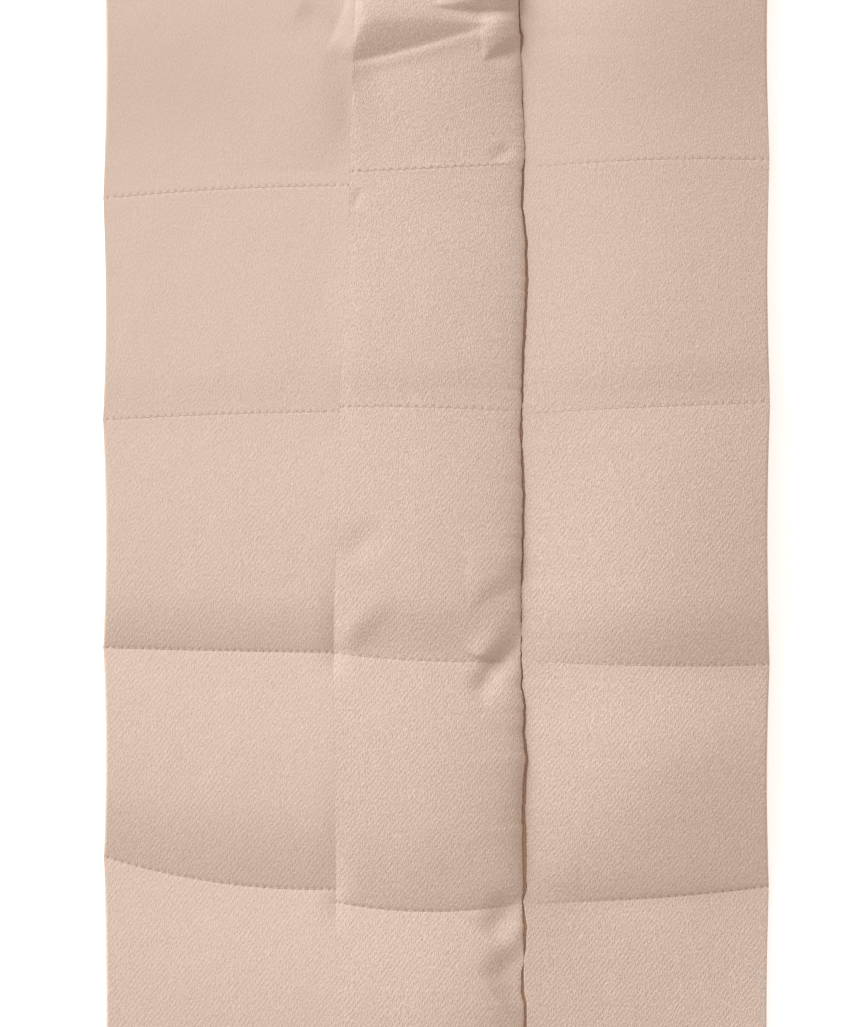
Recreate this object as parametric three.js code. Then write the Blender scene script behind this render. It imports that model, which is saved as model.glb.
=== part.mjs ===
// A cut length of down-filled, channel-quilted wool cloth with a padded placket, lying on its back.
// The placket is sewn to the left panel and laps over the right panel, which runs on flat beneath it.
// Millimetres. +Z is out of the quilted face and +Y towards the top edge.
// The origin is on the surface that the cloth lies on, under the middle of the piece.

import * as THREE from "three";
import { mergeVertices } from "three/addons/utils/BufferGeometryUtils.js";

// Driving dimensions
const CLOTH_WIDTH = 223; // from the left panel's outer edge to the right panel's
const SEWN_THICKNESS = 2.5; // the cloths where they are sewn flat together
const LAP_THICKNESS = 4; // the right panel where it is pressed flat under the placket
const LAP_GROOVE = 1; // how far its sewn lines are drawn up from the surface there
const LAP_SHORT_OF_SEAM = 3; // from the placket's seam to the end of the lap
const LAY_GAP = 0.7; // between the placket and the lap beneath it
const SEAM_GAP = 0.4; // between the left panel and the placket
const SIDE_DRAW_IN = 0.8; // how far an outer edge is drawn in between two sewn lines
const SEAM_DROP = 1.2; // how far the placket's sewn lines come down at its seam
const FREE_EDGE_DROP = 3.6; // how far they come down at its free edge
const FREE_EDGE_FILL = 0.15; // the share of the filling's height that is left there
const FREE_EDGE_THICKNESS = 1; // the turned cloth of the free edge
const SLIT_STEP = 0.3; // how much lower the right panel lies beside the free edge
const SLIT_AT_LINE = 0.4; // width of the slit beside the free edge, at a sewn line

// How far in from an edge the cloth takes to change
const OUTER_ROLL = 1; // the face at an outer edge
const OUTER_BACK_ROLL = 7; // the underside there
const SEAM_BACK_ROLL = 11; // the underside at the placket's seam
const SEAM_ROLL = 34; // the placket's face, from its seam up
const FREE_EDGE_ROLL = 36; // the placket's face, from its free edge up
const FREE_EDGE_RAMP = 15; // the lap, from the flat up to the free edge
const FOLD_EDGE_ROLL = 8; // the placket's folds, from its free edge to their full height
const SLIT_WALL = 0.5; // the right panel's side of the slit
const BESIDE_SLIT_REACH = 70; // the right panel's face, from the slit up
const RIGHT_FALL = 67; // the right panel's face, down to its outer edge
const RIGHT_FILLING_LOSS = 0.4; // the share of the filling's height that is lost there
const LAP_END_ROLL = 3; // the lap's hidden end
const LAP_RISE = 20; // the right panel's underside, from the flat lap to its full grooves

// Roundness
const EDGE_POWER = 2.4; // 2 is a quarter ellipse, and more is squarer
const BROAD_POWER = 2; // the same for the placket's free edge
const FLAT_BACK_FILL = 1.7; // over 1, so that the filled underside lies flat on the surface

// Fineness of the solids
const ROWS_PER_CHANNEL = 14;
const ROW_CROWDING = 0.15; // 0 spaces the rows evenly, and more crowds them at the sewn lines
const LEFT_COLUMNS = 14;
const PLACKET_COLUMNS = 20;
const LAP_COLUMNS = 8;
const RIGHT_COLUMNS = 15;
const PLACKET_CROWDING = 1.6; // over 1, so that the columns are closer towards the free edge
const LAP_CROWDING = 2; // the same for the lap
const SEAM_COLUMN = 3; // width of the left panel's column beside the seam

// Sewn lines, from the top edge down to the bottom edge. y is the line's own height on the piece.
// left, placket and right are how far it strays from y at the start, middle and end of each panel.
const SEWN_LINES = [
  { y: 203.5, left: [0, -2, 0], placket: [0, -1, 0], right: [0, -2, 0] },
  { y: 122.2, left: [-9.2, -6.1, -5.2], placket: [-0.6, 0.7, 2.3], right: [1.2, 3.8, 4.1] },
  { y: 42.8, left: [-3.8, -1.9, -1.1], placket: [0.4, 0.3, -1.1], right: [-1.6, 0.5, 2.2] },
  { y: -40.5, left: [3.4, 2.5, 1.9], placket: [1.7, -0.8, -1.0], right: [-0.7, -2.5, -2.4] },
  { y: -122.2, left: [15.2, 6.6, 4.6], placket: [0.1, -2.8, -0.3], right: [-0.3, 1.0, 4.7] },
  { y: -203.5, left: [0, 2, 0], placket: [0, 1, 0], right: [0, 2, 0] },
];

// How high the face of each sewn line lies: at the left panel's outer edge, at its seam, on the placket,
// on the right panel, and at the right panel's outer edge.
const SEWN_FACES = [
  { outerLeft: 8.0, left: 11.5, placket: 12.7, right: 9.5, outerRight: 3.5 },
  { outerLeft: 10.5, left: 14.0, placket: 15.2, right: 12.5, outerRight: 5.5 },
  { outerLeft: 12.0, left: 15.5, placket: 16.7, right: 14.0, outerRight: 8.0 },
  { outerLeft: 11.0, left: 14.5, placket: 16.0, right: 14.2, outerRight: 6.0 },
  { outerLeft: 9.0, left: 12.5, placket: 13.8, right: 7.2, outerRight: 2.8 },
  { outerLeft: 8.0, left: 11.5, placket: 12.7, right: 4.5, outerRight: 2.8 },
];

// The placket's two long edges where each sewn line crosses them: x of its seam and of its free edge.
const PLACKET_EDGES = [
  { seam: -26.5, free: 26.5 },
  { seam: -29.0, free: 29.0 },
  { seam: -32.3, free: 28.2 },
  { seam: -34.5, free: 27.6 },
  { seam: -33.7, free: 29.0 },
  { seam: -33.3, free: 29.3 },
];

// Filled channels, from the top down. Each panel has the height of its filling over the sewn lines, how far
// down the channel the crest lies, and how gently the face leaves the upper line and meets the lower one:
// 1 is at a slope and 2 is level.
const CHANNELS = [
  { left: [4.8, 0.2, 1, 2.4], placket: [4.5, 0.3, 1, 2], right: [4.5, 0.2, 1, 2.4] },
  { left: [0.5, 0.8, 3, 2], placket: [0.9, 0.8, 2, 2], right: [1.3, 0.8, 2, 2] },
  { left: [3.3, 0.75, 1.2, 0.85], placket: [3.1, 0.74, 1.2, 1.5], right: [4.6, 0.74, 1, 1] },
  { left: [5.2, 0.64, 1, 0.95], placket: [4.5, 0.62, 1, 0.85], right: [6.6, 0.45, 1.2, 0.72] },
  { left: [3.5, 0.45, 1, 1], placket: [3.5, 0.45, 1, 1], right: [0.4, 0.25, 1, 1] },
];

// The slit beside each channel: its width halfway, and how far the free edge swells out there.
const SLITS = [
  { width: 0.4, bulge: 0.6 },
  { width: 1.0, bulge: 1.2 },
  { width: 0.8, bulge: 0.4 },
  { width: 1.2, bulge: 1.2 },
  { width: 1.2, bulge: 0.4 },
];

// Main folds of the face, each along a curve through three points. above and below are how far it reaches on
// its two sides, and depth how deep its crease is, or below zero how high its ridge. bulge is how high the
// cloth swells above it, and runOut how far beyond that the swelling takes to end. The fades are the shares
// of its length that its ends take. hold is how far from a sewn line it has its full height, or 0 where it
// crosses the line.
const FOLDS = [
  {
    panel: "placket", x: [-29.5, -5.7, 18.0], y: [157.9, 163.2, 170.8],
    above: 12, below: 14, depth: 2.1, bulge: 3.4, runOut: 28, fadeIn: 0.2, fadeOut: 0.9, hold: 2,
  },
  {
    panel: "placket", x: [15.5, 21.5, 30.5], y: [158.3, 160.8, 163.2],
    above: 4.8, below: 3, depth: 1.9, bulge: 1.9, runOut: 22, fadeIn: 0.9, fadeOut: 0, hold: 2,
  },
  {
    panel: "placket", x: [-2.0, 14.0, 30.5], y: [176.3, 174.8, 176.0],
    above: 5.5, below: 2.5, depth: 1.4, bulge: 2.8, runOut: 26, fadeIn: 0.9, fadeOut: 0, hold: 2,
  },
  {
    panel: "placket", x: [16.0, 24.6, 28.3], y: [-41.6, -39.0, -32.8],
    above: 4, below: 3, depth: 1.6, bulge: 0, runOut: 1, fadeIn: 0.7, fadeOut: 0, hold: 0,
  },
  {
    panel: "placket", x: [14.0, 16.8, 22.5], y: [-41.5, -37.0, -28.0],
    above: 5, below: 4.5, depth: -1.4, bulge: 0, runOut: 1, fadeIn: 0.4, fadeOut: 0.8, hold: 2,
  },
  {
    panel: "placket", x: [16.5, 22.5, 29.0], y: [-149.5, -145.3, -141.0],
    above: 5.5, below: 20, depth: 2.2, bulge: 0, runOut: 1, fadeIn: 0.6, fadeOut: 0, hold: 2,
  },
  {
    panel: "left", x: [-41.0, -41.0, -41.0], y: [168.0, 145.0, 122.0],
    above: 10, below: 20, depth: -1.1, bulge: 0, runOut: 1, fadeIn: 0.5, fadeOut: 0.5, hold: 2,
  },
];
const FOLD_STEPS = 12; // straight steps along each fold
const FOLD_POWER = 1.5; // sharpness of a crease: 1 is sharp and 2 is soft
const BULGE_ROUNDING = 1.3; // 1 rises straight from the crease, and more is rounder
const LEAST_SIZE = 0.05; // the least share of a bulge's size, at the ends of its fold
const CHANNEL_HEIGHT = 81;

const { clamp, lerp, smoothstep } = THREE.MathUtils;

// A curve through three values at the start, middle and end of the share 0 to 1.
function through([start, middle, end], share) {
  const rest = 1 - share;
  return start * rest * (rest - share) + 4 * middle * share * rest + end * share * (share - rest);
}

// Moves evenly spaced shares towards 0 and 1.
function crowd(share, amount) {
  return share - (amount * Math.sin(2 * Math.PI * share)) / (2 * Math.PI);
}

// Steps across a width, with a first and a last step of their own width and even ones between.
function stepAcross(step, steps, first, last, width) {
  if (step <= 1) return first * step;
  if (step >= steps - 1) return width - last * (steps - step);
  return lerp(first, width - last, (step - 1) / (steps - 2));
}

// Which channel a place is in, where down counts channels from the top edge, and how far down the channel.
function channelAt(down) {
  const index = clamp(Math.floor(down + 1e-6), 0, CHANNELS.length - 1);
  return { index, share: clamp(down - index, 0, 1) };
}

// The same for a y on the piece, between the sewn lines' own heights.
function channelAtHeight(y) {
  const index = clamp(SEWN_LINES.findIndex((line) => line.y <= y) - 1, 0, CHANNELS.length - 1);
  const [above, below] = [SEWN_LINES[index].y, SEWN_LINES[index + 1].y];
  return { index, share: clamp((above - y) / (above - below), 0, 1) };
}

// The x of the placket's seam or free edge at a y, carried smoothly from each sewn line to the next.
function placketEdge(edge, y) {
  const { index, share } = channelAtHeight(y);
  return lerp(PLACKET_EDGES[index][edge], PLACKET_EDGES[index + 1][edge], smoothstep(share, 0, 1));
}

// How far an edge swells between two sewn lines: 0 at the lines and 1 halfway.
function swell({ share }) {
  return Math.sin(Math.PI * share);
}

// The y of a place on the piece: its share of the way between the sewn lines above and below it.
function heightOnPiece(panel, { index, share }, across) {
  const above = SEWN_LINES[index];
  const below = SEWN_LINES[index + 1];
  return lerp(above.y + through(above[panel], across), below.y + through(below[panel], across), share);
}

// The height of the face if nothing filled it, carried from each sewn line to the next.
function sewnFace(where, { index, share }) {
  return lerp(SEWN_FACES[index][where], SEWN_FACES[index + 1][where], share);
}

// How high the filling lifts a panel's face over its sewn lines.
function filling(panel, { index, share }) {
  const [crown, crest, leave, meet] = CHANNELS[index][panel];
  const rise = Math.sin((Math.PI / 2) * Math.min(1, share / crest));
  const fall = Math.cos((Math.PI / 2) * clamp((share - crest) / (1 - crest), 0, 1));
  return crown * (share < crest ? Math.pow(rise, leave) : Math.pow(Math.max(0, fall), meet));
}

// The height of the placket's face along its free edge.
function freeFace(channel) {
  return sewnFace("placket", channel) - FREE_EDGE_DROP + FREE_EDGE_FILL * filling("placket", channel);
}

// The rounded rise from an edge of the filled cloth: 0 at the edge, and 1 from width onwards.
function roll(fromEdge, width, power = EDGE_POWER) {
  const rest = 1 - clamp(fromEdge / width, 0, 1);
  return Math.pow(1 - Math.pow(rest, power), 1 / power);
}

// 1 at an edge, falling ever more gently to 0 at width.
function ramp(fromEdge, width) {
  return Math.pow(1 - clamp(fromEdge / width, 0, 1), 2);
}

// The running out of a fold at one end: 0 at the end and 1 from length onwards.
function fade(share, length) {
  return length > 0 ? Math.sin((Math.PI / 2) * Math.min(1, share / length)) : 1;
}

// How far a point is from a fold, how far along the fold the nearest place is, and if the point is above it.
function nearestOnFold(fold, x, y) {
  const pointAt = (step) =>
    new THREE.Vector2(through(fold.x, step / FOLD_STEPS), through(fold.y, step / FOLD_STEPS));
  const nearest = { away: Infinity, share: 0, above: false };
  for (let step = 0; step < FOLD_STEPS; step++) {
    const run = pointAt(step + 1).sub(pointAt(step));
    const point = new THREE.Vector2(x, y).sub(pointAt(step));
    const along = clamp(point.dot(run) / run.lengthSq(), 0, 1);
    const away = point.distanceTo(run.clone().multiplyScalar(along));
    if (away < nearest.away) {
      nearest.away = away;
      nearest.share = (step + along) / FOLD_STEPS;
      nearest.above = run.cross(point) > 0;
    }
  }
  return nearest;
}

// How much one fold raises the face at a point, or lowers it.
function foldHeight(fold, x, y) {
  const { away, share, above } = nearestOnFold(fold, x, y);
  const strength = fade(share, fold.fadeIn) * fade(1 - share, fold.fadeOut);
  const crease = fold.depth * Math.exp(-Math.pow(away / (above ? fold.above : fold.below), FOLD_POWER));
  const beside = away / Math.max(strength, LEAST_SIZE);
  const rise = 1 - Math.pow(1 - clamp(beside / fold.above, 0, 1), BULGE_ROUNDING);
  const fall = Math.pow(Math.cos((Math.PI / 2) * clamp((beside - fold.above) / fold.runOut, 0, 1)), 2);
  const swelling = above ? fold.bulge * (beside < fold.above ? rise : fall) : 0;
  return (swelling - crease) * strength;
}

// How much all the folds of a panel raise its face at a point, or lower it.
function folding(panel, channel, x, y) {
  const fromLine = Math.min(channel.share, 1 - channel.share) * CHANNEL_HEIGHT;
  const held = (fold) => (fold.hold > 0 ? smoothstep(fromLine, 0, fold.hold) : 1);
  const folds = FOLDS.filter((fold) => fold.panel === panel);
  return folds.reduce((sum, fold) => sum + foldHeight(fold, x, y) * held(fold), 0);
}

// How far the underside has come down from its sewn lines: 1 where it lies flat.
function backFill(channel, edges) {
  return Math.min(1, FLAT_BACK_FILL * swell(channel) * edges);
}

// The two sides of the slit at a y: the placket's free edge, and the right panel's filled part.
function slitSides(y) {
  const channel = channelAtHeight(y);
  const { width, bulge } = SLITS[channel.index];
  const middle = placketEdge("free", y) + bulge * swell(channel);
  const half = lerp(SLIT_AT_LINE, width, swell(channel)) / 2;
  return { freeEdge: middle - half, rightSide: middle + half };
}

// The right panel's face under the placket, flat at first and rising to the free edge.
function lapHeight(channel, fromFreeEdge) {
  const underEdge = freeFace(channel) - FREE_EDGE_THICKNESS - LAY_GAP;
  return lerp(LAP_THICKNESS, underEdge, ramp(fromFreeEdge, FREE_EDGE_RAMP));
}

// Left panel: an outer edge on its left, and the placket's seam on its right.
function leftPanel(column, down) {
  const channel = channelAt(down);
  const start = -CLOTH_WIDTH / 2 + SIDE_DRAW_IN * swell(channel);
  const end = placketEdge("seam", heightOnPiece("left", channel, 1)) - SEAM_GAP / 2;
  const x = start + stepAcross(column, LEFT_COLUMNS, OUTER_ROLL, SEAM_COLUMN, end - start);
  const across = (x - start) / (end - start);
  const y = heightOnPiece("left", channel, across);
  const sewn = lerp(sewnFace("outerLeft", channel), sewnFace("left", channel), across);
  const filled = filling("left", channel) + folding("left", channel, x, y);
  const edges = roll(x - start, OUTER_BACK_ROLL) * roll(end - x, SEAM_BACK_ROLL);
  return {
    x,
    y,
    face: sewn + filled * roll(x - start, OUTER_ROLL),
    back: (sewn - SEWN_THICKNESS) * (1 - backFill(channel, edges)),
  };
}

// Placket: sewn down along its left edge, free along its right, and lying on the right panel's lap.
function placket(column, down) {
  const channel = channelAt(down);
  const start = placketEdge("seam", heightOnPiece("placket", channel, 0)) + SEAM_GAP / 2;
  const end = slitSides(heightOnPiece("placket", channel, 1)).freeEdge;
  const x = lerp(end, start, Math.pow(1 - column / PLACKET_COLUMNS, PLACKET_CROWDING));
  const y = heightOnPiece("placket", channel, (x - start) / (end - start));
  const sewn = sewnFace("placket", channel) - SEAM_DROP * ramp(x - start, SEAM_ROLL);
  const rounded = roll(end - x, FREE_EDGE_ROLL, BROAD_POWER);
  const folded = folding("placket", channel, x, y) * roll(end - x, FOLD_EDGE_ROLL, BROAD_POWER);
  const onLap = lapHeight(channel, end - x) + LAY_GAP;
  const sewnBack = sewn - FREE_EDGE_DROP * (1 - rounded) - SEWN_THICKNESS;
  return {
    x,
    y,
    face: lerp(freeFace(channel), sewn + filling("placket", channel), rounded) + folded,
    back: lerp(Math.max(sewnBack, onLap), onLap, backFill(channel, roll(x - start, SEAM_BACK_ROLL))),
  };
}

// Right panel: pressed flat where it runs under the placket, and filled from the slit to its outer edge.
function rightPanel(column, down) {
  const channel = channelAt(down);
  const slitHeight = heightOnPiece("right", channel, 0);
  const { freeEdge, rightSide: start } = slitSides(slitHeight);
  const lapEnd = placketEdge("seam", slitHeight) + LAP_SHORT_OF_SEAM;
  const end = CLOTH_WIDTH / 2 - SIDE_DRAW_IN * swell(channel);
  const pastSlit = column - LAP_COLUMNS;
  const lapShare = Math.pow(Math.max(0, -pastSlit / LAP_COLUMNS), LAP_CROWDING);
  const shown = stepAcross(Math.max(0, pastSlit), RIGHT_COLUMNS, SLIT_WALL, OUTER_ROLL, end - start);
  const x = pastSlit > 0 ? start + shown : lerp(start, lapEnd, lapShare);
  const y = heightOnPiece("right", channel, Math.max(0, x - start) / (end - start));
  const fallen = ramp(end - x, RIGHT_FALL);
  const sewn = lerp(sewnFace("right", channel), sewnFace("outerRight", channel), fallen);
  const filled = filling("right", channel) * (1 - RIGHT_FILLING_LOSS * fallen);
  const beyondSlit = sewn + filled * roll(end - x, OUTER_ROLL);
  const shownFace = lerp(beyondSlit, freeFace(channel) - SLIT_STEP, ramp(x - start, BESIDE_SLIT_REACH));
  const lapFace = lerp(SEWN_THICKNESS, lapHeight(channel, freeEdge - x), roll(x - lapEnd, LAP_END_ROLL));
  const sewnBack = lerp(LAP_GROOVE, sewn - SEWN_THICKNESS, smoothstep(x - start, 0, LAP_RISE));
  return {
    x,
    y,
    face: pastSlit > 0 ? shownFace : lapFace,
    back: sewnBack * (1 - backFill(channel, roll(end - x, OUTER_BACK_ROLL))),
  };
}

// A closed solid: a box of columns and rows, its front laid on the panel's face and its back on the back.
function panelMesh(name, columns, panel, material) {
  const rows = ROWS_PER_CHANNEL * CHANNELS.length;
  const geometry = new THREE.BoxGeometry(columns, 1, 1, columns, rows, 1);
  geometry.deleteAttribute("normal");
  geometry.deleteAttribute("uv");
  const points = geometry.getAttribute("position");
  for (let i = 0; i < points.count; i++) {
    const column = Math.round(points.getX(i) + columns / 2);
    const { index, share } = channelAt((0.5 - points.getY(i)) * CHANNELS.length);
    const { x, y, face, back } = panel(column, index + crowd(share, ROW_CROWDING));
    points.setXYZ(i, x, y, points.getZ(i) > 0 ? face : back);
  }
  const closed = mergeVertices(geometry);
  closed.computeVertexNormals();
  const mesh = new THREE.Mesh(closed, material);
  mesh.name = name;
  return mesh;
}

// Brushed wool twill, the same cloth for every panel
function woolTwill(name) {
  return new THREE.MeshStandardMaterial({ name, color: 0xd7bead, roughness: 0.95, metalness: 0 });
}

const quiltedLength = new THREE.Group();
quiltedLength.add(
  panelMesh("left_panel", LEFT_COLUMNS, leftPanel, woolTwill("left panel twill")),
  panelMesh("placket", PLACKET_COLUMNS, placket, woolTwill("placket twill")),
  panelMesh("right_panel", LAP_COLUMNS + RIGHT_COLUMNS, rightPanel, woolTwill("right panel twill")),
);

export default quiltedLength;
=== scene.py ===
"""The look of channel-quilted down cloth with a padded placket, lying face up on a pale floor.

Sizes are in millimetres until a mesh is made, and then in metres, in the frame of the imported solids.
"""

import math

import bpy
import numpy as np
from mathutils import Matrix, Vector, noise


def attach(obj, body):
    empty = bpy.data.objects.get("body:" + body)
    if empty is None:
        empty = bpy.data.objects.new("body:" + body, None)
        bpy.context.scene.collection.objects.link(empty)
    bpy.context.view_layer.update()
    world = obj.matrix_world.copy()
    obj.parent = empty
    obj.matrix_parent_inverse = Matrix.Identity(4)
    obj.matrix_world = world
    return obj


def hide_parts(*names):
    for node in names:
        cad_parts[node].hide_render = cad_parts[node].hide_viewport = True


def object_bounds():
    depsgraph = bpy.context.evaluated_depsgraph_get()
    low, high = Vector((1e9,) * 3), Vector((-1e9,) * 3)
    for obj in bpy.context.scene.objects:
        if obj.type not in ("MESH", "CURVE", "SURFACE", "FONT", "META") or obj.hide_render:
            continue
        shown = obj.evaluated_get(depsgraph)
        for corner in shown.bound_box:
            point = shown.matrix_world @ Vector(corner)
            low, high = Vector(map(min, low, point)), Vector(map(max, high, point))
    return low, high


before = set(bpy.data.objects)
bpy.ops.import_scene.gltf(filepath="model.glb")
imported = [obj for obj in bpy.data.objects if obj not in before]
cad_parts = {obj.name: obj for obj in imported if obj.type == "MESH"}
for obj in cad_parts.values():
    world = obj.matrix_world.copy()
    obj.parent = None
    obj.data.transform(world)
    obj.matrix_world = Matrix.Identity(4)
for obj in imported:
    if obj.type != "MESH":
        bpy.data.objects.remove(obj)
cad_low, cad_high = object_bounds()

MM = 0.001

# Driving dimensions, as in the solids, but with narrower gaps and a thinner free edge
CLOTH_WIDTH = (cad_high.x - cad_low.x) / MM
CHANNEL_HEIGHT = 81.0
SEWN_THICKNESS = 2.5  # the cloths where they are sewn flat together
LAP_THICKNESS = 4.0  # the right panel where it is pressed flat under the placket
LAP_GROOVE = 1.0  # how far its sewn lines are drawn up from the floor there
LAP_SHORT_OF_SEAM = 3.0  # from the placket's seam to the end of the lap
LAY_GAP = 0.3  # between the placket and the lap beneath it
SEAM_GAP = 0.01  # between the left panel and the placket
SIDE_DRAW_IN = 0.8  # how far an outer edge is drawn in between two sewn lines
SEAM_DROP = 1.2  # how far the placket's sewn lines come down at its seam
FREE_EDGE_DROP = 3.6  # how far they come down at its free edge
FREE_EDGE_FILL = 0.15  # the share of the filling's height that is left there
FREE_EDGE_THICKNESS = 0.8  # the turned cloth of the free edge
SLIT_STEP = 0.1  # how much lower the right panel lies beside an open slit

# How far in from an edge the cloth takes to change
OUTER_ROLL = 1.0  # the face at an outer edge
OUTER_BACK_ROLL = 7.0  # the underside there
SEAM_REACH = 8.0  # the faces on both sides of the seam, down to its ditch
SEAM_ROLL = 34.0  # the placket's face, from its seam up
SEAM_BACK_ROLL = 11.0  # the underside at the placket's seam
FREE_EDGE_ROLL = 36.0  # the placket's face, from its free edge up
FREE_EDGE_RAMP = 15.0  # the lap, from the flat up to the free edge
FOLD_EDGE_ROLL = 8.0  # the placket's folds, from its free edge to their full height
SLIT_WALL_ROLL = 0.4  # the right panel's side of the slit
BESIDE_SLIT_REACH = 70.0  # the right panel's face, from the slit up
RIGHT_FALL = 67.0  # the right panel's face, down to its outer edge
LAP_END_ROLL = 3.0  # the lap's hidden end
LAP_RISE = 20.0  # the right panel's underside, from the flat lap to its full grooves

# Roundness
EDGE_POWER = 2.4  # 2 is a quarter ellipse, and more is squarer
BROAD_POWER = 2.0  # the same for the placket's free edge
FLAT_BACK_FILL = 1.7  # over 1, so that the filled underside lies flat on the floor
RIGHT_FILLING_LOSS = 0.4  # the share of the filling's height that is lost at the right outer edge

# Sewn lines from the top edge down: height, and how far each panel's line strays at start, middle and end
SEWN_LINES = [
    {"y": 203.5, "left": (0, -2, 0), "placket": (0, -1, 0), "right": (0, -2, 0)},
    {"y": 122.2, "left": (-9.2, -6.1, -5.2), "placket": (-0.6, 0.7, 2.3), "right": (1.2, 3.8, 4.1)},
    {"y": 42.8, "left": (-3.8, -1.9, -1.1), "placket": (0.4, 0.3, -1.1), "right": (-1.6, 0.5, 2.2)},
    {"y": -40.5, "left": (3.4, 2.5, 1.9), "placket": (1.7, -0.8, -1.0), "right": (-0.7, -2.5, -2.4)},
    {"y": -122.2, "left": (15.2, 6.6, 4.6), "placket": (0.1, -2.8, -0.3), "right": (-0.3, 1.0, 4.7)},
    {"y": -203.5, "left": (0, 2, 0), "placket": (0, 1, 0), "right": (0, 2, 0)},
]

# How high each sewn line lies at the left panel's outer edge, at its seam, on the placket, beside the slit,
# and at the right panel's outer edge
SEWN_FACES = [
    {"outer_left": 8.0, "left": 11.5, "placket": 12.7, "right": 9.5, "outer_right": 3.5},
    {"outer_left": 10.5, "left": 14.0, "placket": 15.2, "right": 12.5, "outer_right": 5.5},
    {"outer_left": 12.0, "left": 15.5, "placket": 16.7, "right": 14.0, "outer_right": 8.0},
    {"outer_left": 11.0, "left": 14.5, "placket": 16.0, "right": 14.2, "outer_right": 6.0},
    {"outer_left": 9.0, "left": 12.5, "placket": 13.8, "right": 7.2, "outer_right": 2.8},
    {"outer_left": 8.0, "left": 11.5, "placket": 12.7, "right": 4.5, "outer_right": 2.8},
]

# The placket's seam where each sewn line crosses it: its x, and the depth of the ditch it lies in there. The
# ditch runs out over SEAM_DITCH_ABOVE of the channel above, and over SEAM_DITCH_BELOW of the one below.
SEAM = [
    {"x": -26.5, "ditch": 0.0},
    {"x": -29.0, "ditch": 0.0},
    {"x": -32.3, "ditch": 0.2},
    {"x": -34.5, "ditch": 0.9},
    {"x": -33.7, "ditch": 0.8},
    {"x": -33.3, "ditch": 0.0},
]
SEAM_DITCH_ABOVE = 0.6
SEAM_DITCH_BELOW = 0.15

# Course of the slit down the piece: its height, its middle, and its width
SLIT_COLUMNS = ("y", "x", "width")
SLIT_ROWS = [
    (203.5, 27.3, 0.1),
    (173.5, 27.4, 0.1),
    (166.8, 28.2, 0.8),
    (160.0, 28.0, 0.1),
    (129.0, 29.3, 0.1),
    (118.0, 28.6, 0.6),
    (110.5, 28.4, 0.6),
    (98.5, 29.8, 0.8),
    (85.5, 29.9, 0.8),
    (73.0, 29.5, 0.8),
    (62.0, 28.8, 0.8),
    (48.0, 28.4, 0.6),
    (43.5, 28.3, 0.1),
    (35.5, 28.0, 1.0),
    (30.0, 28.2, 0.4),
    (24.0, 28.5, 0.9),
    (14.5, 28.9, 0.7),
    (-6.0, 28.5, 0.4),
    (-12.2, 28.3, 0.8),
    (-17.8, 28.0, 0.1),
    (-41.0, 28.1, 0.2),
    (-45.0, 28.3, 0.5),
    (-49.5, 28.2, 0.2),
    (-56.5, 29.3, 0.7),
    (-65.0, 28.9, 0.8),
    (-74.5, 29.9, 0.9),
    (-82.0, 29.2, 1.0),
    (-93.0, 28.8, 1.0),
    (-99.5, 29.1, 1.2),
    (-117.0, 29.3, 1.2),
    (-122.0, 28.6, 0.3),
    (-130.5, 29.4, 1.3),
    (-138.0, 29.3, 0.7),
    (-142.5, 28.8, 0.1),
    (-151.5, 28.4, 1.3),
    (-156.0, 29.5, 1.0),
    (-203.5, 29.3, 1.0),
]
SLIT = [dict(zip(SLIT_COLUMNS, row)) for row in SLIT_ROWS]

# How high each filled channel stands over its sewn lines, how far down it the crest lies, and how gently it
# leaves its upper line and meets its lower one: 1 at a slope, 2 level
CHANNELS = [
    {"left": (4.8, 0.20, 1, 2.4), "placket": (4.5, 0.30, 1, 2), "right": (4.5, 0.20, 1, 2.4)},
    {"left": (0.5, 0.80, 3, 2), "placket": (0.9, 0.80, 2, 2), "right": (1.3, 0.80, 2, 2)},
    {"left": (3.3, 0.75, 1.2, 0.85), "placket": (3.1, 0.74, 1.2, 1.5), "right": (4.6, 0.74, 1, 1)},
    {"left": (5.2, 0.64, 1, 0.95), "placket": (4.5, 0.62, 1, 0.85), "right": (6.6, 0.45, 1.2, 0.72)},
    {"left": (3.5, 0.45, 1, 1), "placket": (3.5, 0.45, 1, 1), "right": (0.4, 0.25, 1, 1)},
]

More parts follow.
